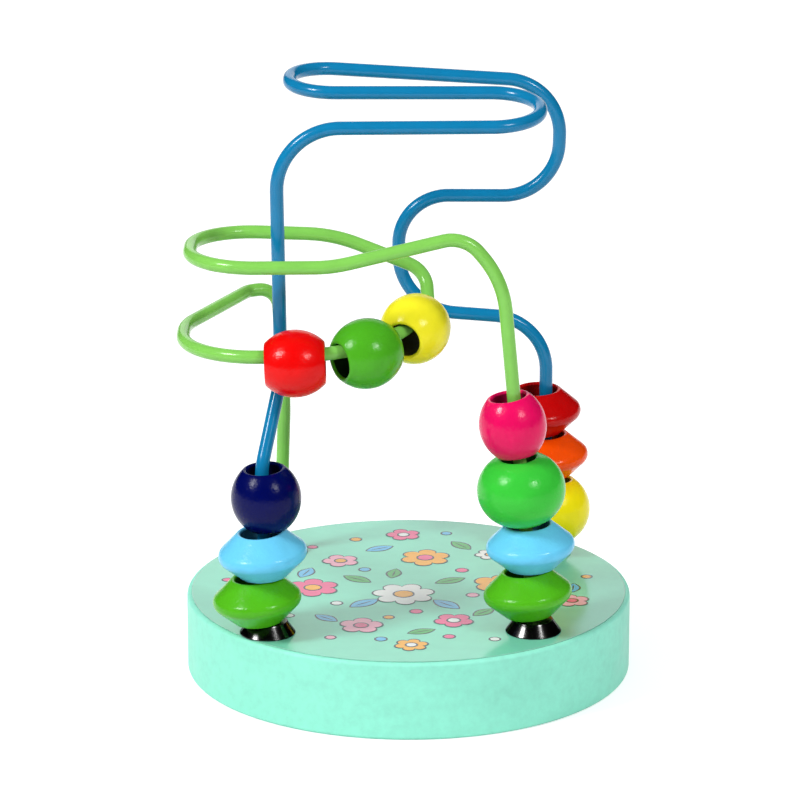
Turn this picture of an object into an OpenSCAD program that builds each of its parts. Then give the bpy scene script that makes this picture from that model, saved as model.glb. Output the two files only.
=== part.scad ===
// Bead maze: two bent wires with painted wooden beads, standing in a round wooden base.
// The origin is the centre of the base's underside, X runs to the right and Y to the back.

/* [Base] */
// Diameter of the wooden base
base_d = 90; // [86:1:110]
// Height of the wooden base
base_h = 16; // [13:0.5:24]
// Rounding of the base's upper and lower edges
base_round = 0.8; // [0.5:0.1:2]
// Thickness of the printed film on top of the base
film_t = 0.15; // [0.1:0.05:0.3]
// Bare ring between the film and the rounded edge
film_inset = 0.1; // [0.1:0.1:2]

/* [Feet] */
// Front left foot, from the base's edge to its centre
foot_fl_in = 6.1; // [6:0.1:12]
// Front left foot, angle around the base from the right
foot_fl_turn = 224; // [220:0.5:228]
// Front right foot, from the base's edge to its centre
foot_fr_in = 9.1; // [6:0.1:12]
// Front right foot, angle around the base from the right
foot_fr_turn = 313.5; // [310:0.5:318]
// Back left foot, from the base's edge to its centre
foot_bl_in = 9.9; // [6:0.1:12]
// Back left foot, angle around the base from the right
foot_bl_turn = 139; // [135:0.5:143]
// Back right foot, from the base's edge to its centre
foot_br_in = 8.6; // [6:0.1:12]
// Back right foot, angle around the base from the right
foot_br_turn = 39; // [35:0.5:43]

/* [Collars] */
// Diameter of a collar where it sits on the base
collar_d = 11.2; // [10:0.1:12]
// Height of a collar above the base
collar_h = 2.6; // [2.2:0.1:3.2]
// Slope of a collar's side from upright, in degrees
collar_taper = 33; // [28:1:34]
// Diameter of the spigot that is pressed in the base
spigot_d = 6.4; // [5.5:0.1:7]
// Depth of the spigot in the base
spigot_len = 8; // [7:0.5:10]

/* [Wires] */
// Diameter of a wire over its coloured sleeve
wire_d = 2.7; // [2.4:0.1:3]
// Diameter of the steel core
core_d = 1.7; // [1.4:0.1:2]
// Height of the blue wire's upper turns above the base
blue_top = 103; // [98:1:112]
// Height of the blue wire's middle run above the base
blue_middle = 77; // [74:1:80]
// Height of the blue wire's lower run above the stack on the back right leg
blue_room = 16.4; // [14:0.2:19]
// Height of the green wire's lower loop above the base
green_lower = 57; // [55:1:58]
// Height of the green wire's upper loop above its lower loop
green_gap = 18; // [16:1:22]

/* [Beads] */
// Largest diameter of a ball
ball_d = 13.9; // [13:0.1:14.5]
// Length of a ball along its bore
ball_len = 12.3; // [12:0.1:13]
// Bore of a ball of any size, and of an oval bead
ball_bore = 6.8; // [6.4:0.1:7.2]
// Largest diameter of a small ball
small_d = 13.3; // [12.6:0.1:13.8]
// Length of a small ball along its bore
small_len = 11.9; // [11.4:0.1:12.4]
// Largest diameter of the large ball
large_d = 15.4; // [14.6:0.1:16]
// Length of the large ball along its bore
large_len = 13; // [12.6:0.1:13.4]
// Largest diameter of a saucer
saucer_d = 17.6; // [16:0.1:18.5]
// Length of a saucer along its bore
saucer_len = 9.2; // [8.8:0.1:9.8]
// Bore of a saucer
saucer_bore = 8; // [7.6:0.1:8.4]
// Rounding of a saucer's sharp rim
saucer_round = 1.8; // [1:0.1:2.2]
// Largest diameter of the oval bead
oval_d = 17.5; // [16:0.1:18.5]
// Length of the oval bead along its bore
oval_len = 13.6; // [13:0.1:14.2]
// Rounding at the ends of a bead's bore
lip_r = 0.5; // [0.4:0.1:0.7]

/* [Fits] */
// Gap between beads that lie on each other
bead_gap = 0.3; // [0.2:0.05:0.5]
// Gap between a lowest bead and the side of its collar
seat_gap = 0.15; // [0.1:0.05:0.3]
// Play on radius where a wire's sleeve enters a collar, and round the core
wire_play = 0.05; // [0.02:0.01:0.1]
// Play on radius of a spigot in the base, and below its end
spigot_play = 0.05; // [0.02:0.01:0.15]

/* [Hidden] */
$fn = 96;

// Colours
mint = [0.60, 0.93, 0.82];
pale_mint = [0.62, 0.86, 0.77];
steel = [0.70, 0.70, 0.72];
wire_blue = [0.09, 0.53, 0.77];
wire_green = [0.52, 0.84, 0.35];
black = [0.05, 0.05, 0.06];
leaf_green = [0.28, 0.72, 0.13];
fresh_green = [0.20, 0.75, 0.22];
sky_blue = [0.40, 0.80, 0.97];
navy = [0.06, 0.07, 0.38];
magenta = [0.88, 0.05, 0.40];
yellow = [0.97, 0.89, 0.10];
orange = [0.98, 0.38, 0.03];
red = [0.88, 0.03, 0.04];

// Feet and the height that the collars sit at
function foot(edge, angle) = (base_d / 2 - edge) * [cos(angle), sin(angle)];
foot_fl = foot(foot_fl_in, foot_fl_turn);
foot_fr = foot(foot_fr_in, foot_fr_turn);
foot_bl = foot(foot_bl_in, foot_bl_turn);
foot_br = foot(foot_br_in, foot_br_turn);
feet = [foot_fl, foot_fr, foot_bl, foot_br];
film_top = base_h + film_t;
collar_top = film_top + collar_h;
spigot_end = base_h - spigot_len;

// Hole for the core, in a sleeve and in the lower part of a collar
sleeve_bore = core_d + 2 * wire_play;
// The sleeve stops on a step inside the collar, and the bare core goes on almost to the spigot's end
bare_end = 3.2;
core_short = 0.5;
sleeve_end = spigot_end + bare_end;
core_end = spigot_end + core_short;
// Above the collar a leg is upright for this much, and then leans with this bend radius
upright = 1.5;
lean_radius = 15;
lean_z = collar_top + upright;

// Stacks on the legs: each row is a bead from the lowest up, as
// [shape, shift right, shift back, lean right, lean front]. A shift is a share of the bead's play on
// the wire, and a lean is in degrees.
BALL = 0;
SMALL = 1;
OVAL = 2;
SAUCER = 3;
LARGE = 4;
left_rows = [
    [SAUCER, -0.72, -0.3, -3, 1],
    [SAUCER, -0.15, -0.4, -3, 2.5],
    [BALL, 0.35, 0, -2, 3.5]
];
right_rows = [
    [SAUCER, -0.3, 0.3, 0, 0],
    [SAUCER, 0.22, 0.5, 1, 1.5],
    [OVAL, -0.1, 0.4, 0, 3],
    [SMALL, -0.35, 0.25, -4, 1]
];
back_rows = [
    [LARGE, 0.8, 0, 1, 0],
    [SAUCER, 0, 0, -3, 1],
    [SAUCER, -0.6, 0, -2, 2]
];
// How far the lowest bead of a stack reaches down past the collar's top, or under 0, stays above it
left_drop = 0.05;
right_drop = -0.4;
back_drop = -0.3;

function bead_d(shape) = [ball_d, small_d, oval_d, saucer_d, large_d][shape];
function bead_len(shape) = [ball_len, small_len, oval_len, saucer_len, large_len][shape];
function bead_bore(shape) = shape == SAUCER ? saucer_bore : ball_bore;
function play(shape) = (bead_bore(shape) - wire_d) / 2;
function end_r(shape) = bead_bore(shape) / 2 + lip_r;
function twist(a, b) = norm([a[3] - b[3], a[4] - b[4]]);
function step_up(a, b) =
    (bead_len(a[0]) + bead_len(b[0])) / 2 + bead_gap + end_r(a[0]) * tan(twist(a, b));
function stack_z(rows, drop, i) = i == 0
    ? collar_top + seat_gap - drop + bead_len(rows[0][0]) / 2
    : stack_z(rows, drop, i - 1) + step_up(rows[i - 1], rows[i]);

// Tops of the two stacks on the blue wire's legs
left_top = stack_z(left_rows, left_drop, 2) + ball_len / 2;
back_top = stack_z(back_rows, back_drop, 2) + saucer_len / 2;

// The blue left leg steps back above its stack, and ends the step this much higher
knee_rise = 16;
// The back left leg bows out most at this height above the base
bow_h = 32;
// Heights of the wires' runs
top_z = base_h + blue_top;
middle_z = base_h + blue_middle;
low_z = back_top + blue_room;
knee_z = left_top + knee_rise;
lower_z = base_h + green_lower;
upper_z = lower_z + green_gap;
bow_z = base_h + bow_h;
// Bend radius of the blue wire's turns at the back, where it doubles back below itself
right_bend = (top_z - middle_z) / 2 - 1.65;
left_bend = (middle_z - low_z) / 2 - 1.2;

// Routes: each point is [x, y, z, bend radius], and the ends stand upright in their collars
function blue_route(end_z) = [
    [foot_fl[0], foot_fl[1], end_z, 0],
    [foot_fl[0], foot_fl[1], lean_z, lean_radius],
    [foot_fl[0] - 1, foot_fl[1], left_top - 0.3, 9],
    [-25.2, -18, knee_z, 12],
    [-26, -18, top_z - 2.4, 12.5],
    [25.8, -18, top_z - 2, 9.7],
    [25.8, 2.2, top_z, 9.7],
    [-23.8, 2.2, top_z, 9.4],
    [-23.8, 22, top_z + 0.8, 9.4],
    [foot_br[0] + 2.6, foot_br[1], top_z - 2.7, right_bend],
    [foot_br[0] + 2, foot_br[1], middle_z - 0.4, right_bend],
    [-2, foot_br[1], middle_z - 0.3, left_bend - 1.2],
    [-2, foot_br[1], low_z + 0.8, left_bend + 1.2],
    [foot_br[0], foot_br[1], low_z - 1.6, 11.5],
    [foot_br[0], foot_br[1], end_z, 0]
];
function green_route(end_z) = [
    [foot_fr[0], foot_fr[1], end_z, 0],
    [foot_fr[0], foot_fr[1], lean_z, lean_radius],
    [foot_fr[0] - 6.4, foot_fr[1], upper_z - 2.7, 20],
    [foot_fr[0] - 13.9, foot_fr[1], upper_z + 6.2, 7],
    [-15, -27.3, upper_z + 0.2, 30],
    [-43, -28, upper_z + 0.2, 13],
    [-43, 2, upper_z, 13],
    [-15, 1, upper_z - 0.7, 30],
    [3.4, 0, lower_z + 10.2, 5.5],
    [3.9, -5.5, lower_z + 4.4, 5],
    [-3.7, -27, lower_z + 1, 24],
    [-44.7, -27, lower_z - 0.6, 17],
    [-44.7, -3, lower_z - 0.4, 17],
    [foot_bl[0] - 6.3, foot_bl[1] - 2, lower_z, 3],
    [foot_bl[0] - 0.3, foot_bl[1], lower_z + 0.2, 4.2],
    [foot_bl[0] + 0.9, foot_bl[1], bow_z, 60],
    [foot_bl[0], foot_bl[1], lean_z, lean_radius],
    [foot_bl[0], foot_bl[1], end_z, 0]
];
// Which point of the green route is the wide turn that the middle beads hang on
middle_turn = 10;

// Geometry of a route
function unit(v) = v / norm(v);
function place(route, i) = [route[i][0], route[i][1], route[i][2]];
function heading(route, i) = unit(place(route, i + 1) - place(route, i));
function turn(route, i) = acos(heading(route, i - 1) * heading(route, i));
function inner(route, i) = i > 0 && i < len(route) - 1;
function cut_back(route, i) = inner(route, i) ? route[i][3] * tan(turn(route, i) / 2) : 0;
function bend_start(route, i) = place(route, i) - cut_back(route, i) * heading(route, max(i - 1, 0));
function bend_end(route, i) = place(route, i) + cut_back(route, i) * heading(route, i);
function bend_axis(route, i) = unit(cross(heading(route, i - 1), heading(route, i)));
function to_centre(route, i) = cross(bend_axis(route, i), heading(route, i - 1));
function bend_centre(route, i) = bend_start(route, i) + route[i][3] * to_centre(route, i);

// A frame with its Z along a direction, as a matrix
function frame_x(z) = unit(cross(abs(z[1]) < 0.9 ? [0, 1, 0] : [1, 0, 0], z));
function matrix(x, y, z, at) = [
    [x[0], y[0], z[0], at[0]],
    [x[1], y[1], z[1], at[1]],
    [x[2], y[2], z[2], at[2]],
    [0, 0, 0, 1]
];
function bend_frame(route, i) =
    matrix(-to_centre(route, i), heading(route, i - 1), bend_axis(route, i), bend_centre(route, i));
function frame_on(z, at) = matrix(frame_x(z), cross(z, frame_x(z)), z, at);

// A round rod along a route, drilled through if bore is over 0. Its bends are a hair thicker than its
// straight runs, which reach a little way into them, so that the two meet at a step.
swell = 0.02;
reach_in = 0.2;

module ring(d, bore) {
    difference() {
        circle(d = d);
        if (bore > 0) circle(d = bore);
    }
}

module bent_rod(route, d, bore) {
    last = len(route) - 2;
    for (i = [0 : last]) {
        ahead = heading(route, i);
        start = bend_end(route, i) - ahead * (i > 0 ? reach_in : 0);
        end = bend_start(route, i + 1) + ahead * (i < last ? reach_in : 0);
        multmatrix(frame_on(ahead, start))
            linear_extrude(height = norm(end - start))
                ring(d, bore);
    }
    for (i = [1 : last])
        multmatrix(bend_frame(route, i))
            rotate_extrude(angle = turn(route, i))
                translate([route[i][3], 0])
                    ring(d + swell, bore - swell);
}

// Bead outlines: X is the distance from the bore's axis, Y runs along it
edge_steps = 12;
lip_steps = 10;
half_steps = 14;

function arc(centre, r, from, to, steps) = [
    for (i = [0 : steps])
        let (a = from + (to - from) * i / steps)
            centre + r * [cos(a), sin(a)]
];
function flipped(points) = [for (i = [len(points) - 1 : -1 : 0]) [points[i][0], -points[i][1]]];
// Both ends of a bead are rounded into the bore, from the angle at which its side meets the rounding
function lip_centre(bore, half) = [bore / 2 + lip_r, half - lip_r];
function lipped(side, bore, half, angle) =
    let (lip = arc(lip_centre(bore, half), lip_r, angle, 180, lip_steps))
    concat(flipped(lip), side, lip);

// Round bead: the side is one arc that runs into both roundings
function round_outline(d, bore, half) =
    let (
        lip = lip_centre(bore, half),
        inset = d / 2 - lip[0],
        r = (inset * inset + lip[1] * lip[1] - lip_r * lip_r) / (2 * (inset - lip_r)),
        angle = atan2(lip[1], r - inset),
        side = arc([d / 2 - r, 0], r, -angle, angle, 2 * half_steps)
    )
    lipped([for (i = [1 : 2 * half_steps - 1]) side[i]], bore, half, angle);

// Saucer: two cones between the roundings and a rounded rim
function saucer_outline(d, bore, half) =
    let (
        rim = [d / 2 - saucer_round, 0],
        run = lip_centre(bore, half) - rim,
        angle = atan2(run[1], run[0]) - acos((saucer_round - lip_r) / norm(run))
    )
    lipped(arc(rim, saucer_round, -angle, angle, edge_steps), bore, half, angle);

module bead(shape) {
    d = bead_d(shape);
    bore = bead_bore(shape);
    half = bead_len(shape) / 2;
    rotate_extrude()
        polygon(shape == SAUCER ? saucer_outline(d, bore, half) : round_outline(d, bore, half));
}

// Legs as [foot, direction above the collar]
left_leg = [place(blue_route(0), 1), heading(blue_route(0), 1)];
right_leg = [place(green_route(0), 1), heading(green_route(0), 1)];
back_leg = [place(blue_route(0), len(blue_route(0)) - 2), [0, 0, 1]];

module leg_bead(leg, rows, drop, i) {
    row = rows[i];
    z = stack_z(rows, drop, i);
    on_wire = leg[0] + leg[1] * (z - leg[0][2]) / leg[1][2];
    shift = play(row[0]) * [row[1], row[2], 0];
    axis = unit(leg[1] + [tan(row[3]), -tan(row[4]), 0]);
    multmatrix(frame_on(axis, on_wire + shift)) bead(row[0]);
}

// Beads on the wide turn and the run after it, by distance along the wire from the turn's start
middle_route = green_route(0);
middle_r = middle_route[middle_turn][3];
middle_arc = middle_r * turn(middle_route, middle_turn) * PI / 180;
middle_gap = 2.5;
yellow_at = 1.7;
green_at = yellow_at + ball_len + middle_gap;
red_at = green_at + (ball_len + small_len) / 2 + middle_gap;
// Share of the play by which a hanging bead sits below the wire
hang = 0.75;

module turn_bead(shape, s) {
    a = min(s, middle_arc) / middle_r * 180 / PI;
    out = -to_centre(middle_route, middle_turn);
    ahead = heading(middle_route, middle_turn - 1);
    along = cos(a) * ahead - sin(a) * out;
    on_wire = bend_centre(middle_route, middle_turn) + middle_r * (cos(a) * out + sin(a) * ahead)
        + max(s - middle_arc, 0) * along;
    multmatrix(frame_on(along, on_wire - [0, 0, hang * play(shape)])) bead(shape);
}

// Sub-parts
module base() {
    r = base_round;
    rim = base_d / 2 - r;
    outline = concat(
        [[0, 0]],
        arc([rim, r], r, -90, 0, edge_steps),
        arc([rim, base_h - r], r, 0, 90, edge_steps),
        [[0, base_h]]
    );
    color(mint) difference() {
        rotate_extrude() polygon(outline);
        for (at = feet)
            translate([at[0], at[1], spigot_end - spigot_play])
                cylinder(d = spigot_d + 2 * spigot_play, h = base_h);
    }
}

module top_film() {
    color(pale_mint) translate([0, 0, base_h]) difference() {
        cylinder(d = base_d - 2 * base_round - 2 * film_inset, h = film_t);
        for (at = feet)
            translate([at[0], at[1], -film_t])
                cylinder(d = spigot_d + 2 * spigot_play, h = 3 * film_t);
    }
}

module collar(at) {
    narrow = collar_d - 2 * collar_h * tan(collar_taper);
    color(black) translate([at[0], at[1], 0]) difference() {
        union() {
            translate([0, 0, film_top]) cylinder(d1 = collar_d, d2 = narrow, h = collar_h);
            translate([0, 0, spigot_end]) cylinder(d = spigot_d, h = film_top - spigot_end);
        }
        translate([0, 0, sleeve_end]) cylinder(d = wire_d + 2 * wire_play, h = base_h);
        cylinder(d = sleeve_bore, h = base_h);
    }
}

module collar_front_left() { collar(foot_fl); }
module collar_front_right() { collar(foot_fr); }
module collar_back_left() { collar(foot_bl); }
module collar_back_right() { collar(foot_br); }

module blue_core() { color(steel) bent_rod(blue_route(core_end), core_d, 0); }
module green_core() { color(steel) bent_rod(green_route(core_end), core_d, 0); }
module blue_sleeve() { color(wire_blue) bent_rod(blue_route(sleeve_end), wire_d, sleeve_bore); }
module green_sleeve() { color(wire_green) bent_rod(green_route(sleeve_end), wire_d, sleeve_bore); }

module left_green_saucer() { color(leaf_green) leg_bead(left_leg, left_rows, left_drop, 0); }
module left_blue_saucer() { color(sky_blue) leg_bead(left_leg, left_rows, left_drop, 1); }
module left_navy_ball() { color(navy) leg_bead(left_leg, left_rows, left_drop, 2); }

module right_green_saucer() { color(leaf_green) leg_bead(right_leg, right_rows, right_drop, 0); }
module right_blue_saucer() { color(sky_blue) leg_bead(right_leg, right_rows, right_drop, 1); }
module right_green_oval() { color(fresh_green) leg_bead(right_leg, right_rows, right_drop, 2); }
module right_magenta_ball() { color(magenta) leg_bead(right_leg, right_rows, right_drop, 3); }

module back_yellow_ball() { color(yellow) leg_bead(back_leg, back_rows, back_drop, 0); }
module back_orange_saucer() { color(orange) leg_bead(back_leg, back_rows, back_drop, 1); }
module back_red_saucer() { color(red) leg_bead(back_leg, back_rows, back_drop, 2); }

module middle_yellow_ball() { color(yellow) turn_bead(BALL, yellow_at); }
module middle_green_ball() { color(leaf_green) turn_bead(BALL, green_at); }
module middle_red_ball() { color(red) turn_bead(SMALL, red_at); }

base();
top_film();
blue_core();
blue_sleeve();
green_core();
green_sleeve();
collar_front_left();
collar_front_right();
collar_back_left();
collar_back_right();
left_green_saucer();
left_blue_saucer();
left_navy_ball();
right_green_saucer();
right_blue_saucer();
right_green_oval();
right_magenta_ball();
back_yellow_ball();
back_orange_saucer();
back_red_saucer();
middle_yellow_ball();
middle_green_ball();
middle_red_ball();
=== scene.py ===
"""Looks of the bead maze: painted beads on two coated wires, on a round base with a printed film."""

import math

import bpy
import numpy as np
from mathutils import Matrix, Vector


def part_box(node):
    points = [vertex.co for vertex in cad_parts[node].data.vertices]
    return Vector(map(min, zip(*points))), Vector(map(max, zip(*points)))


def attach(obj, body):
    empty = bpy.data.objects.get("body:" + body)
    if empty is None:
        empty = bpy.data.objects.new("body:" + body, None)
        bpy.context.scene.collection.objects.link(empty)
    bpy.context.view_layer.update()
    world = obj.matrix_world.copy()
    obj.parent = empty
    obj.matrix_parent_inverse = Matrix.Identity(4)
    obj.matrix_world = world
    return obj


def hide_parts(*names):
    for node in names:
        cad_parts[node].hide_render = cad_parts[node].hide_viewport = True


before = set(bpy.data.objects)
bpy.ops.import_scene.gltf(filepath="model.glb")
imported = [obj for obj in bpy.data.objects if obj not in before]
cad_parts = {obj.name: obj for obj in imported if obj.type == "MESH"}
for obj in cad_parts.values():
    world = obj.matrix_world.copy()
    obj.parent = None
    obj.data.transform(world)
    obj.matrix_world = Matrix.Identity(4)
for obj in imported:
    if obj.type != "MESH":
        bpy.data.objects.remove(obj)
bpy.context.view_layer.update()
MM = 0.001


# Colours and materials

NOISE_LOW, NOISE_HIGH = 0.3, 0.7    # most values of a noise texture lie between these


def srgb(r, g, b):
    """Linear colour of an 8 bit sRGB colour."""
    def one(v):
        v /= 255
        return v / 12.92 if v <= 0.04045 else ((v + 0.055) / 1.055) ** 2.4
    return one(r), one(g), one(b), 1.0


def scaled(colour, k):
    """A colour made darker or lighter by a factor."""
    return tuple(min(1.0, c * k) for c in colour[:3]) + (1.0,)


def between(darker, lighter):
    """Ramp stops for two shades over the span of a noise texture."""
    return [(NOISE_LOW, darker), (NOISE_HIGH, lighter)]


class Nodes:
    """A material's node tree with a Principled shader."""

    def __init__(self, name):
        self.material = bpy.data.materials.new(name)
        self.material.use_nodes = True
        self.tree = self.material.node_tree
        self.shader = self.tree.nodes["Principled BSDF"]
        self.coords = self.tree.nodes.new("ShaderNodeTexCoord").outputs["Object"]

    def link(self, a, b):
        self.tree.links.new(a, b)

    def set(self, **values):
        """Sets shader inputs by their names in lower case."""
        for name, value in values.items():
            self.shader.inputs[name.replace("_", " ").title().replace("Ior", "IOR")].default_value = value

    def noise(self, scale, detail=3.0, roughness=0.55, stretch=None):
        coords = self.coords
        if stretch:
            mapping = self.tree.nodes.new("ShaderNodeMapping")
            mapping.inputs["Scale"].default_value = stretch
            self.link(coords, mapping.inputs["Vector"])
            coords = mapping.outputs["Vector"]
        n = self.tree.nodes.new("ShaderNodeTexNoise")
        n.inputs["Scale"].default_value = scale
        n.inputs["Detail"].default_value = detail
        n.inputs["Roughness"].default_value = roughness
        self.link(coords, n.inputs["Vector"])
        return n.outputs["Fac"]

    def ramp(self, fac, stops):
        """Colours a value by stops of (position, colour)."""
        r = self.tree.nodes.new("ShaderNodeValToRGB")
        r.color_ramp.elements[0].position = stops[0][0]
        r.color_ramp.elements[1].position = stops[-1][0]
        for at, _ in stops[1:-1]:
            r.color_ramp.elements.new(at)
        for element, (_, colour) in zip(r.color_ramp.elements, stops):
            element.color = colour
        self.link(fac, r.inputs["Fac"])
        return r.outputs["Color"]

    def level(self, fac, low, high):
        """Brings a noise value into a span of roughness."""
        m = self.tree.nodes.new("ShaderNodeMapRange")
        m.inputs["From Min"].default_value = NOISE_LOW
        m.inputs["From Max"].default_value = NOISE_HIGH
        m.inputs["To Min"].default_value = low
        m.inputs["To Max"].default_value = high
        self.link(fac, m.inputs["Value"])
        return m.outputs["Result"]

    def bump(self, fac, strength, distance, under=None):
        b = self.tree.nodes.new("ShaderNodeBump")
        b.inputs["Strength"].default_value = strength
        b.inputs["Distance"].default_value = distance
        self.link(fac, b.inputs["Height"])
        if under:
            self.link(under, b.inputs["Normal"])
        return b.outputs["Normal"]

    def finish(self, colour, roughness, normal=None):
        self.link(colour, self.shader.inputs["Base Color"])
        self.link(roughness, self.shader.inputs["Roughness"])
        if normal:
            self.link(normal, self.shader.inputs["Normal"])
        return self.material


def painted_wood(name, colour, gloss):
    """Thick gloss paint over turned wood: faint cloudiness, orange peel and grain."""
    n = Nodes(name)
    n.set(specular_ior_level=gloss)
    cloud = n.noise(scale=260, detail=4)
    shade = n.ramp(cloud, [(0.3, scaled(colour, 0.95)), (0.55, colour), (0.75, scaled(colour, 1.05))])
    peel = n.bump(n.noise(scale=1700, detail=2), strength=1.0, distance=0.055 * MM)
    fibres = n.noise(scale=420, detail=3, roughness=0.6, stretch=(1, 1, 0.25))
    grain = n.bump(fibres, strength=0.08, distance=0.06 * MM, under=peel)
    return n.finish(shade, n.level(n.noise(scale=600), low=0.18, high=0.26), grain)


def coated_wire(name, colour):
    """Smooth extruded plastic with fine scuffs."""
    n = Nodes(name)
    n.set(specular_ior_level=0.31)
    shade = n.ramp(n.noise(scale=180), between(scaled(colour, 0.92), scaled(colour, 1.03)))
    gloss = n.level(n.noise(scale=700), low=0.15, high=0.21)
    return n.finish(shade, gloss, n.bump(n.noise(scale=700, detail=2), strength=0.03, distance=0.03 * MM))


def moulded_plastic(name, colour):
    """Glossy moulded plastic with a faint skin."""
    n = Nodes(name)
    n.set(specular_ior_level=0.8)
    shade = n.ramp(n.noise(scale=300), between(scaled(colour, 0.8), scaled(colour, 1.3)))
    gloss = n.level(n.noise(scale=1200), low=0.14, high=0.20)
    return n.finish(shade, gloss, n.bump(n.noise(scale=1600, detail=2), strength=0.04, distance=0.02 * MM))


def drawn_steel(name):
    """Bare grey steel wire with fine drawing marks."""
    n = Nodes(name)
    n.set(metallic=1.0)
    shade = n.ramp(n.noise(scale=700, detail=4), between((0.42, 0.42, 0.44, 1), (0.62, 0.62, 0.64, 1)))
    gloss = n.level(n.noise(scale=1500), low=0.25, high=0.4)
    return n.finish(shade, gloss, n.bump(n.noise(scale=2000), strength=0.1, distance=0.03 * MM))


def shaded_bore_paint(name, colour, bore_shading):
    """Paint on the drilled wood inside a bead, rough and dull, darkened by a factor as painted shade in the
    bore.
    """
    n = Nodes(name)
    n.set(specular_ior_level=0.1)
    shades = between(scaled(colour, 0.8 * bore_shading), scaled(colour, 1.2 * bore_shading))
    shade = n.ramp(n.noise(scale=500, detail=4), shades)
    gloss = n.level(n.noise(scale=900), low=0.7, high=0.9)
    return n.finish(shade, gloss, n.bump(n.noise(scale=1400, detail=4), strength=0.3, distance=0.08 * MM))


def clear_film(name, colour, spread=0.04):
    """Ink under clear glossy film, with a faint uneven lay."""
    n = Nodes(name)
    n.set(specular_ior_level=0.5)
    shades = between(scaled(colour, 1 - spread), scaled(colour, 1 + spread))
    shade = n.ramp(n.noise(scale=240, detail=4), shades)
    gloss = n.level(n.noise(scale=900), low=0.12, high=0.18)
    return n.finish(shade, gloss, n.bump(n.noise(scale=1100, detail=2), strength=0.02, distance=0.02 * MM))


# Mesh building

def new_object(name, verts, faces, materials, indices=None):
    mesh = bpy.data.meshes.new(name)
    mesh.from_pydata(verts, [], faces)
    for m in materials:
        mesh.materials.append(m)
    mesh.polygons.foreach_set("use_smooth", [True] * len(mesh.polygons))
    if indices:
        mesh.polygons.foreach_set("material_index", indices)
    mesh.update()
    obj = bpy.data.objects.new(name, mesh)
    bpy.context.scene.collection.objects.link(obj)
    return obj


def lathe(name, outline, materials, at=Matrix.Identity(4), steps=96, closed=False, index=lambda i: 0):
    """Turns an outline of (radius, height) points round the Z of a placing matrix.

    index gives the material of the band that starts at an outline point.
    """
    rings, verts = [], []
    for r, z in outline:
        if r < 1e-9:
            rings.append([len(verts)] * steps)
            verts.append(at @ Vector((0, 0, z)))
            continue
        rings.append(list(range(len(verts), len(verts) + steps)))
        for k in range(steps):
            a = 2 * math.pi * k / steps
            verts.append(at @ Vector((r * math.cos(a), r * math.sin(a), z)))
    faces, indices = [], []
    following = list(range(1, len(rings))) + ([0] if closed else [])
    for i, j in enumerate(following):
        for k in range(steps):
            k1 = (k + 1) % steps
            face = [rings[i][k], rings[i][k1], rings[j][k1], rings[j][k]]
            face = [v for n, v in enumerate(face) if v not in face[:n]]
            if len(face) > 2:
                faces.append(face)
                indices.append(index(i))
    obj = new_object(name, verts, faces, materials, indices)
    weighted = obj.modifiers.new("even shading", "WEIGHTED_NORMAL")
    weighted.keep_sharp = True
    weighted.weight = 100
    return obj


def in_metres(outline):
    return [(r * MM, z * MM) for r, z in outline]


def arc(x, y, r, start, end, steps):
    """Points on an arc from one angle to another, in degrees."""
    return [(x + r * math.cos(math.radians(a)), y + r * math.sin(math.radians(a)))
            for a in np.linspace(start, end, steps + 1)]


def filleted(route, step=3.0):
    """Points along a route of (x, y, z, bend radius), with an arc at each inner point."""
    points = [Vector(p[:3]) for p in route]
    out = [points[0]]
    for i in range(1, len(points) - 1):
        a = (points[i] - points[i - 1]).normalized()
        b = (points[i + 1] - points[i]).normalized()
        turn = a.angle(b)
        r = route[i][3]
        start = points[i] - a * r * math.tan(turn / 2)
        axis = a.cross(b).normalized()
        inward = axis.cross(a)
        centre = start + inward * r
        n = max(4, math.ceil(math.degrees(turn) / step))
        for k in range(n + 1):
            out.append(centre + Matrix.Rotation(turn * k / n, 3, axis) @ (-inward * r))
    return out + [points[-1]]


def tube(name, route, d, material, sides=28):
    """A round rod swept along a filleted route, without twist."""
    path = filleted(route)
    tangents = []
    for i in range(len(path)):
        tangents.append((path[min(i + 1, len(path) - 1)] - path[max(i - 1, 0)]).normalized())
    side = Vector((1, 0, 0))
    verts, faces = [], []
    for i, (p, t) in enumerate(zip(path, tangents)):
        if i:
            side = tangents[i - 1].rotation_difference(t) @ side
        side = (side - t * side.dot(t)).normalized()
        up = t.cross(side)
        for k in range(sides):
            a = 2 * math.pi * k / sides
            verts.append((p + (side * math.cos(a) + up * math.sin(a)) * d / 2) * MM)
    for i in range(len(path) - 1):
        for k in range(sides):
            k1 = (k + 1) % sides
            faces.append([i * sides + k, i * sides + k1, (i + 1) * sides + k1, (i + 1) * sides + k])
    faces.append(list(range(sides))[::-1])
    faces.append(list(range((len(path) - 1) * sides, len(path) * sides)))
    return new_object(name, verts, faces, [material])


# Beads, each set out on the axis of its own solid

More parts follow.
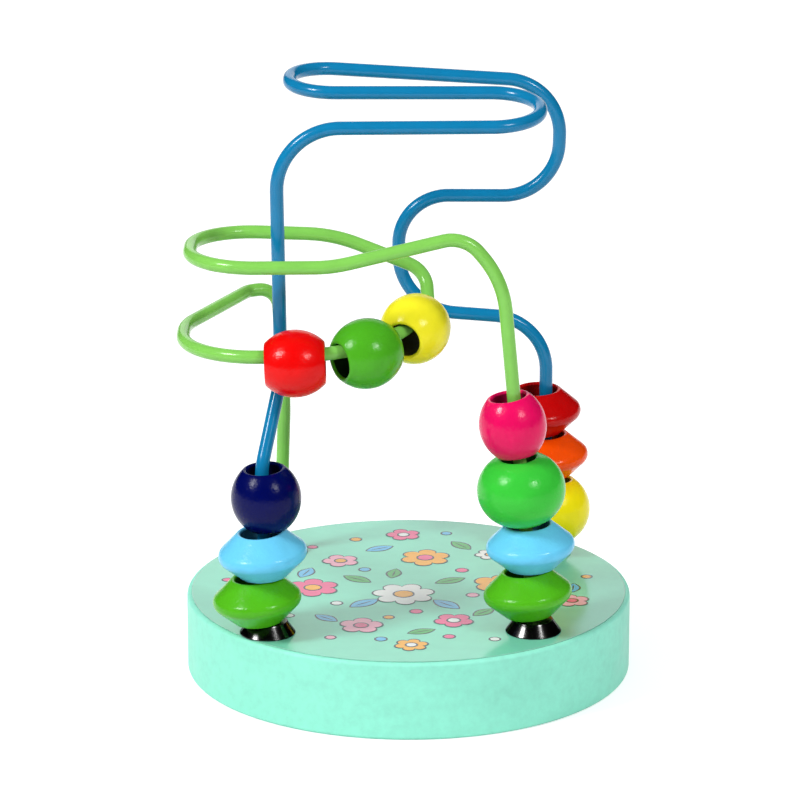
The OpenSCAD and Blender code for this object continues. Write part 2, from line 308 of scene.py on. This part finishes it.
def measured(node):
    """Placing matrix, length, outer and bore diameter of a turned solid, in metres."""
    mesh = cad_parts[node].data
    v = np.empty(len(mesh.vertices) * 3)
    mesh.vertices.foreach_get("co", v)
    v = v.reshape(-1, 3)
    area = np.empty(len(mesh.polygons))
    normal = np.empty(len(mesh.polygons) * 3)
    middle = np.empty(len(mesh.polygons) * 3)
    mesh.polygons.foreach_get("area", area)
    mesh.polygons.foreach_get("normal", normal)
    mesh.polygons.foreach_get("center", middle)
    normal, middle = normal.reshape(-1, 3), middle.reshape(-1, 3)
    # The spread of the faces' directions is alike in two directions, and the odd one is the axis
    spread, axes = np.linalg.eigh((normal * area[:, None]).T @ normal)
    odd = 0 if spread[1] - spread[0] > spread[2] - spread[1] else 2
    axis = axes[:, odd]
    if axis[2] < -0.2 or (abs(axis[2]) <= 0.2 and axis[0] < 0):
        axis = -axis
    centre = (middle * area[:, None]).sum(0) / area.sum()
    along = (v - centre) @ axis
    centre = centre + axis * (along.min() + along.max()) / 2
    off = np.linalg.norm((v - centre) - ((v - centre) @ axis)[:, None] * axis, axis=1)
    turn = Vector((0, 0, 1)).rotation_difference(Vector(axis)).to_matrix().to_4x4()
    return Matrix.Translation(Vector(centre)) @ turn, np.ptp(along), 2 * off.max(), 2 * off.min()


LIP = 0.5 * MM    # rounding where the bore opens
RIM = 1.8 * MM    # rounding of a saucer's rim
BEAD_STEPS = 112


def bead_outline(length, d, bore, saucer):
    """Outline from the lower end of the bore, over the side, to the upper end."""
    lip_x, lip_y = bore / 2 + LIP, length / 2 - LIP
    if saucer:
        rim_x = d / 2 - RIM
        run = Vector((lip_x - rim_x, lip_y))
        angle = math.degrees(math.atan2(run.y, run.x) - math.acos((RIM - LIP) / run.length))
        side = arc(rim_x, 0, RIM, -angle, angle, 16)
        straight = [(side[-1][0] + (lip_x + LIP * math.cos(math.radians(angle)) - side[-1][0]) * k / 8,
                     side[-1][1] + (lip_y + LIP * math.sin(math.radians(angle)) - side[-1][1]) * k / 8)
                    for k in range(1, 8)]
        side = [(x, -y) for x, y in reversed(straight)] + side + straight
    else:
        inset = d / 2 - lip_x
        r = (inset ** 2 + lip_y ** 2 - LIP ** 2) / (2 * (inset - LIP))
        angle = math.degrees(math.atan2(lip_y, r - inset))
        side = arc(d / 2 - r, 0, r, -angle, angle, 44)[1:-1]
    upper = arc(lip_x, lip_y, LIP, angle, 180, 12)
    return [(x, -y) for x, y in reversed(upper)] + side + upper


def bead(node, paint, bore_finish, slot):
    at, length, d, bore = measured(node)
    outline = bead_outline(length, d, bore, "saucer" in node)
    last = len(outline) - 1
    obj = lathe(node + "_painted", outline, [paint, bore_finish], at, BEAD_STEPS, True,
                lambda i: 1 if i == last else 0)
    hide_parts(node)
    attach(obj, node)


PAINTS = {
    "leaf_green": (80, 178, 25),
    "sky_blue": (104, 202, 242),
    "navy": (0, 6, 78),
    "fresh_green": (56, 196, 58),
    "magenta": (228, 7, 92),
    # the yellow paint made lighter to offset the shade it sits in at the back: painted light
    "yellow_lifted_against_shade": (252, 236, 10),
    "orange": (248, 80, 0),
    # the red paint made darker for the back saucer: painted shade
    "red_darkened_for_shade": (196, 2, 3),
    "yellow": (248, 236, 40),
    "grass_green": (74, 168, 30),
    "red": (228, 2, 2),
}
BEADS = [
    ("left_green_saucer", "leaf_green", "leaf_green_paint"),
    ("left_blue_saucer", "sky_blue", "sky_blue_paint"),
    ("left_navy_ball", "navy", "navy_paint"),
    ("right_green_saucer", "leaf_green", "leaf_green_paint"),
    ("right_blue_saucer", "sky_blue", "sky_blue_paint"),
    ("right_green_oval", "fresh_green", "fresh_green_paint"),
    ("right_magenta_ball", "magenta", "magenta_paint"),
    ("back_yellow_ball", "yellow_lifted_against_shade", "yellow_paint"),
    ("back_orange_saucer", "orange", "orange_paint"),
    ("back_red_saucer", "red_darkened_for_shade", "red_paint"),
    ("middle_yellow_ball", "yellow", "yellow_paint"),
    ("middle_green_ball", "grass_green", "leaf_green_paint"),
    ("middle_red_ball", "red", "red_paint"),
]
GLOSS, DARK_GLOSS = 0.21, 0.13
# How far the bead's own paint is darkened inside its bore: painted shade, deepest in the middle yellow and
# green balls.
BORE_SHADING, DEEP_BORE_SHADING = 0.45, 0.06
FINISHES = {}
for name, rgb in PAINTS.items():
    gloss = DARK_GLOSS if name == "navy" else GLOSS
    bore_shading = DEEP_BORE_SHADING if name in ("yellow", "grass_green") else BORE_SHADING
    outside = painted_wood(name + "_gloss", srgb(*rgb), gloss)
    FINISHES[name] = outside, shaded_bore_paint(name + "_bore", srgb(*rgb), bore_shading)
for node, paint, slot in BEADS:
    bead(node, *FINISHES[paint], slot)


# Wires, as points of (x, y, z, bend radius) in mm from the front foot to the back one

WIRE = 2.7
BLUE = [
    (-27.98, -27.02, 11.2, 0), (-27.98, -27.02, 20.25, 15), (-28.98, -27.02, 50.08, 9),
    (-25.2, -18, 66.38, 12), (-26, -18, 116.6, 12.5), (25.8, -18, 117, 9.7), (25.8, 2.2, 119, 9.7),
    (-23.8, 2.2, 119, 9.4), (-23.8, 22, 119.8, 9.4), (30.89, 22.91, 116.3, 11.35),
    (30.29, 22.91, 92.6, 11.35), (-2, 22.91, 92.7, 10.1), (-2, 22.91, 68.79, 12.5),
    (28.29, 22.91, 66.39, 11.5), (28.29, 22.91, 11.2, 0),
]
GREEN = [
    (24.71, -26.04, 11.2, 0), (24.71, -26.04, 20.25, 15), (18.31, -26.04, 88.3, 20),
    (10.81, -26.04, 97.2, 7), (-15, -27.3, 91.2, 30), (-43, -28, 91.2, 13), (-43, 2, 91, 13),
    (-15, 1, 90.3, 30), (3.4, 0, 83.2, 5.5), (3.9, -5.5, 77.4, 5), (-3.7, -27, 74, 24),
    (-44.7, -27, 72.4, 17), (-44.7, -3, 72.6, 17), (-32.79, 21.03, 73, 3), (-26.79, 23.03, 73.2, 4.2),
    (-25.59, 23.03, 48, 60), (-26.49, 23.03, 20.25, 15), (-26.49, 23.03, 11.2, 0),
]
STEEL = drawn_steel("drawn_steel")
for colour, route, rgb in (("blue", BLUE, (12, 122, 171)), ("green", GREEN, (129, 201, 87))):
    obj = tube(colour + "_wire_coat", route, WIRE, coated_wire(colour + "_wire_plastic", srgb(*rgb)))
    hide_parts(colour + "_sleeve")
    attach(obj, "frame")
    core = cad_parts[colour + "_core"]
    core.data.materials.clear()
    core.data.materials.append(STEEL)


# Collars, in mm: a tapered foot on the film, over a spigot with a step for the wire's coat

BLACK = moulded_plastic("black_moulded_plastic", srgb(4, 3, 4))
FILM_TOP = 16.15
COLLAR_H = 2.6
FOOT_R, TOP_R = 5.6, 3.912
COAT_R, CORE_R = 1.4, 0.9
SPIGOT_R, SPIGOT_END = 3.2, 8.0
COAT_END = 11.2
FOOT_ROUND, TOP_ROUND, HOLE_ROUND = 0.16, 0.25, 0.2


def collar_outline():
    top = FILM_TOP + COLLAR_H
    lean = math.degrees(math.atan2(FOOT_R - TOP_R, top - FILM_TOP))
    outline = [(CORE_R, SPIGOT_END), (SPIGOT_R, SPIGOT_END), (SPIGOT_R, FILM_TOP), (FOOT_R - 0.5, FILM_TOP)]
    outline += arc(FOOT_R - 0.22, FILM_TOP + FOOT_ROUND, FOOT_ROUND, -90, lean, 6)
    outline += [(TOP_R + 0.20, top - 0.36)]
    outline += arc(TOP_R - TOP_ROUND * 0.55, top - TOP_ROUND, TOP_ROUND, lean, 90, 8)
    outline += [(COAT_R + 0.3, top)]
    outline += arc(COAT_R + HOLE_ROUND, top - HOLE_ROUND, HOLE_ROUND, 90, 180, 5)
    return outline + [(COAT_R, COAT_END), (CORE_R, COAT_END)]


for corner in ("front_left", "front_right", "back_left", "back_right"):
    node = "collar_" + corner
    low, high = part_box(node)
    at = Matrix.Translation(((low[0] + high[0]) / 2, (low[1] + high[1]) / 2, 0))
    obj = lathe(node + "_moulding", in_metres(collar_outline()), [BLACK], at, closed=True)
    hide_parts(node)
    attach(obj, "frame")


# Base and its printed film

def base_paint():
    """Satin paint on a sanded disc: cloudy, finely mottled, with faint streaks round the edge."""
    n = Nodes("mint_satin")
    n.set(specular_ior_level=0.12)
    colour = srgb(149, 235, 211)
    cloud = n.noise(scale=60, detail=3, roughness=0.6, stretch=(1, 1, 2.5))
    mottle = n.noise(scale=520, detail=4, roughness=0.65)
    mix = n.tree.nodes.new("ShaderNodeMix")
    mix.inputs["Factor"].default_value = 0.6
    n.link(cloud, mix.inputs["A"])
    n.link(mottle, mix.inputs["B"])
    stops = [(0.36, scaled(colour, 0.94)), (0.5, colour), (0.64, scaled(colour, 1.05))]
    shade = n.ramp(mix.outputs["Result"], stops)
    streaks = n.noise(scale=160, detail=4, roughness=0.6, stretch=(1, 1, 5))
    relief = n.bump(streaks, strength=0.12, distance=0.10 * MM)
    peel = n.bump(mottle, strength=0.22, distance=0.06 * MM, under=relief)
    return n.finish(shade, n.level(n.noise(scale=220, detail=4), low=0.34, high=0.48), peel)


MINT = base_paint()
R, H, ROUND = 45.0, 16.0, 0.8
DISC_STEPS = 256
outline = [(0, 0), (R - ROUND - 1, 0)] + arc(R - ROUND, ROUND, ROUND, -90, 0, 12)
outline += arc(R - ROUND, H - ROUND, ROUND, 0, 90, 12) + [(R - ROUND - 1, H), (0, H)]
obj = lathe("base_turned", in_metres(outline), [MINT], steps=DISC_STEPS)
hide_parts("base")
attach(obj, "frame")

FILM = clear_film("film_mint", srgb(124, 211, 183), spread=0.03)
FILM_R, FILM_ROUND = 44.1, 0.05
CUT_LINE = 0.28    # how far the pale cut edge of the film shows on its top
EDGE = clear_film("film_cut_edge", srgb(140, 205, 184), spread=0.10)
outline = [(0, H), (FILM_R, H)] + arc(FILM_R - FILM_ROUND, FILM_TOP - FILM_ROUND, FILM_ROUND, 0, 90, 3)
cut = len(outline)
outline += [(FILM_R - CUT_LINE, FILM_TOP), (FILM_R - 1, FILM_TOP), (0, FILM_TOP)]
obj = lathe("film_sheet", in_metres(outline), [FILM, EDGE], steps=DISC_STEPS,
            index=lambda i: 1 if i < cut else 0)
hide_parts("top_film")
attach(obj, "frame")

INKS = {
    "dark": clear_film("ink_dark", srgb(40, 62, 74)),
    "pink": clear_film("ink_pink", srgb(226, 88, 136)),
    "pale_pink": clear_film("ink_pale_pink", srgb(234, 162, 184)),
    "sun": clear_film("ink_sun", srgb(234, 166, 30)),
    "white": clear_film("ink_white", srgb(222, 226, 224)),
    "sky": clear_film("ink_sky", srgb(84, 178, 222)),
    "leaf": clear_film("ink_leaf", srgb(62, 168, 82)),
}
INK_NAMES = list(INKS)
LAYER = 0.012    # height of one layer of ink
LINE = 0.38      # width of the dark line round a motif


class Print:
    """Flat motifs, each a fan of triangles round its middle, laid over each other in thin layers."""

    def __init__(self):
        self.verts, self.faces, self.inks = [], [], []

    def fan(self, x, y, ring, layer, ink):
        z = FILM_TOP + LAYER * layer
        start = len(self.verts)
        self.verts.append((x * MM, y * MM, z * MM))
        self.verts += [((x + px) * MM, (y + py) * MM, z * MM) for px, py in ring]
        n = len(ring)
        for k in range(n):
            self.faces.append((start, start + 1 + k, start + 1 + (k + 1) % n))
            self.inks.append(INK_NAMES.index(ink))

    def outlined(self, x, y, ring, layer, ink):
        """A motif with a dark line round it."""
        def wider(p):
            length = math.hypot(*p)
            return p[0] * (1 + LINE / length), p[1] * (1 + LINE / length)
        self.fan(x, y, [wider(p) for p in ring], layer, "dark")
        self.fan(x, y, ring, layer + 1, ink)


def dot(r, steps=40):
    angles = [2 * math.pi * k / steps for k in range(steps)]
    return [(r * math.cos(a), r * math.sin(a)) for a in angles]


def blossom(r, petals, depth, turn, steps=120):
    """Outline of a flower: depth is how far its notches reach in, as a share of the radius."""
    out = []
    for k in range(steps):
        a = 2 * math.pi * k / steps
        s = r * (1 - depth + depth * abs(math.cos(petals * a / 2)) ** 0.6)
        out.append((s * math.cos(a + turn), s * math.sin(a + turn)))
    return out


def leaf(length, width, turn, steps=24):
    """Outline of a leaf, out along one side and back along the other."""
    out = []
    for k in range(2 * steps):
        t = k / steps if k < steps else 2 - k / steps
        w = width / 2 * math.sin(math.pi * t) ** 0.8 * (1 if k < steps else -1)
        x = (t - 0.5) * length
        out.append((x * math.cos(turn) - w * math.sin(turn), x * math.sin(turn) + w * math.cos(turn)))
    return out


# x, y, radius, petals, turn, ink, ink of the centre
FLOWERS = [
    (-1, -4, 6.2, 7, 0.3, "white", "sun"),
    (18.5, 2.5, 5.2, 5, 0.1, "sun", "white"),
    (-19.5, 0, 5.2, 6, 0.5, "pink", "sun"),
    (-9.5, -23, 4.2, 5, 0.2, "pale_pink", "pink"),
    (9, -20, 3.8, 5, 0.9, "pink", "white"),
    (3.5, 19, 5.0, 6, 0.4, "sun", "pink"),
    (-14, 17, 3.6, 5, 0.7, "pale_pink", "sun"),
    (0.5, -34.5, 3.2, 6, 0.3, "sun", "white"),
    (33, -8, 3.4, 5, 0.5, "pale_pink", "pink"),
    (-35, -6, 3.4, 5, 0.2, "white", "pink"),
    (-1, 34, 3.4, 5, 0.6, "pink", "white"),
    (17, 21, 3.0, 6, 0.1, "white", "sun"),
]
# x, y, length, width, turn, ink
LEAVES = [
    (7.6, -10.2, 7, 3.2, -0.8, "sky"), (-9, -9.5, 7, 3.2, 0.7, "sky"),
    (8.5, 4.5, 6.5, 3, 0.5, "leaf"), (-10.5, 5.5, 6.5, 3, 2.5, "leaf"),
    (25, -5, 6, 2.8, -0.7, "sky"), (-27, -8, 6, 2.8, 0.9, "leaf"),
    (-16.5, -18.5, 5.5, 2.6, 2.4, "sky"), (15, -15, 5.5, 2.6, 0.8, "leaf"),
    (2.5, -26.5, 5.5, 2.6, 0.4, "leaf"), (-6, 25, 6, 2.8, 0.5, "sky"),
    (11, 27, 6, 2.8, 2.2, "leaf"), (-21, 9.5, 6, 2.8, 1.2, "sky"),
    (27, 9, 6, 2.8, 2.2, "leaf"), (-33, 3, 5.5, 2.6, 1.3, "sky"),
    (33.5, 0, 5, 2.4, 1.5, "sky"), (-3, 9, 5.5, 2.6, 1.4, "leaf"),
]
# x, y, radius, ink
DOTS = [
    (1.5, -14.5, 1.1, "pink"), (-14.5, -9.5, 1.0, "white"), (13, -4.5, 1.1, "pale_pink"),
    (-26.5, 3.5, 1.0, "sun"), (11, 11, 1.1, "pink"), (-9, 11.5, 1.0, "sky"), (20, -12, 0.9, "white"),
    (-4, -18, 0.9, "sun"), (-5.5, -31, 1.0, "sky"), (8, -29.5, 1.0, "pink"), (17, -31, 0.9, "white"),
    (-15.5, -30, 0.9, "pale_pink"), (26, 16, 1.0, "pink"), (-24, -17, 0.9, "white"),
    (36.5, 7, 0.9, "sun"), (-37, 5, 0.9, "pink"), (-11, 31, 1.0, "sun"), (8, 35, 0.9, "sky"),
    (-20, 26, 0.9, "pink"), (20, 30, 0.9, "pale_pink"),
]
LOW_LAYER, VEIN_LAYER, FLOWER_LAYER, CENTRE_LAYER = 1, 3, 4, 6
VEIN_SHARE, VEIN_WIDTH = 0.7, 0.3
NOTCH_DEPTH, CENTRE_SHARE = 0.34, 0.30
sheet = Print()
for x, y, length, width, turn, ink in LEAVES:
    sheet.outlined(x, y, leaf(length, width, turn), LOW_LAYER, ink)
    sheet.fan(x, y, leaf(length * VEIN_SHARE, VEIN_WIDTH, turn), VEIN_LAYER, "dark")
for x, y, r, petals, turn, ink, centre in FLOWERS:
    sheet.outlined(x, y, blossom(r, petals, NOTCH_DEPTH, turn), FLOWER_LAYER, ink)
    sheet.outlined(x, y, dot(r * CENTRE_SHARE), CENTRE_LAYER, centre)
for x, y, r, ink in DOTS:
    sheet.outlined(x, y, dot(r), LOW_LAYER, ink)
obj = new_object("film_print", sheet.verts, sheet.faces, list(INKS.values()), sheet.inks)
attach(obj, "frame")


# Floor, light and camera, in metres, degrees and watts

FLOOR_REACH = 6
FLOOR_GLOW = 0.5
WHITE = (1, 1, 1, 1)


def floor_paint():
    """White floor that the camera and reflections see as white, apart from the object's shadow."""
    n = Nodes("floor_white")
    n.set(specular_ior_level=0.0)
    shade = n.ramp(n.noise(scale=3, detail=2), between((0.80, 0.80, 0.80, 1), (0.82, 0.82, 0.82, 1)))
    n.finish(shade, n.level(n.noise(scale=5, detail=2), low=0.9, high=1.0))
    path = n.tree.nodes.new("ShaderNodeLightPath")
    seen = n.tree.nodes.new("ShaderNodeMath")
    seen.operation = "ADD"
    n.link(path.outputs["Is Camera Ray"], seen.inputs[0])
    n.link(path.outputs["Is Glossy Ray"], seen.inputs[1])
    either = n.tree.nodes.new("ShaderNodeMath")
    either.operation = "ADD"
    either.use_clamp = True
    n.link(seen.outputs[0], either.inputs[0])
    n.link(path.outputs["Is Transmission Ray"], either.inputs[1])
    glow = n.tree.nodes.new("ShaderNodeMath")
    glow.operation = "MULTIPLY"
    glow.inputs[1].default_value = FLOOR_GLOW
    n.link(either.outputs[0], glow.inputs[0])
    n.shader.inputs["Emission Color"].default_value = WHITE
    n.link(glow.outputs[0], n.shader.inputs["Emission Strength"])
    return n.material


corners = [(x * FLOOR_REACH, y * FLOOR_REACH, 0) for x, y in ((-1, -1), (1, -1), (1, 1), (-1, 1))]
floor = new_object("floor", corners, [(0, 1, 2, 3)], [floor_paint()])

WORLD_STRENGTH = 0.42
world = bpy.data.worlds.new("studio")
world.use_nodes = True
world.node_tree.nodes["Background"].inputs["Color"].default_value = WHITE
world.node_tree.nodes["Background"].inputs["Strength"].default_value = WORLD_STRENGTH
bpy.context.scene.world = world
world.cycles_visibility.glossy = False

AIM = Vector((-1.74, 0, 56.1)) * MM


def around(azimuth, elevation, distance):
    """A place seen from the object at that angle right of the camera and above the floor."""
    a, e = math.radians(azimuth), math.radians(elevation)
    return AIM + Vector((math.sin(a) * math.cos(e), -math.cos(a) * math.cos(e), math.sin(e))) * distance


def facing(obj, place):
    """Puts a lamp or camera at a place, turned to the object."""
    obj.location = place
    obj.rotation_euler = (AIM - place).to_track_quat("-Z", "Y").to_euler()
    bpy.context.scene.collection.objects.link(obj)


# name, azimuth, elevation, distance, power, width, height
LAMPS = [
    ("left_box", -60, 40, 1.0, 7.0, 0.25, 0.25),
    ("right_box", 40, 36, 1.0, 3.4, 0.19, 0.19),
    ("back_panel", 180, 18, 1.2, 1.6, 0.8, 0.5),
]
for name, azimuth, elevation, distance, power, width, height in LAMPS:
    lamp = bpy.data.lights.new(name, "AREA")
    lamp.shape = "RECTANGLE"
    lamp.energy = power
    lamp.size = width
    lamp.size_y = height
    facing(bpy.data.objects.new(name, lamp), around(azimuth, elevation, distance))

CAMERA_ELEVATION, CAMERA_DISTANCE = 16.9, 1.0
camera = bpy.data.cameras.new("camera")
camera.sensor_width = 36
camera.lens = 223.65
camera.clip_start = 0.05
camera.clip_end = 50
eye = bpy.data.objects.new("camera", camera)
facing(eye, around(0, CAMERA_ELEVATION, CAMERA_DISTANCE))
bpy.context.scene.camera = eye
bpy.context.scene.view_settings.view_transform = "Standard"

bpy.context.view_layer.update()
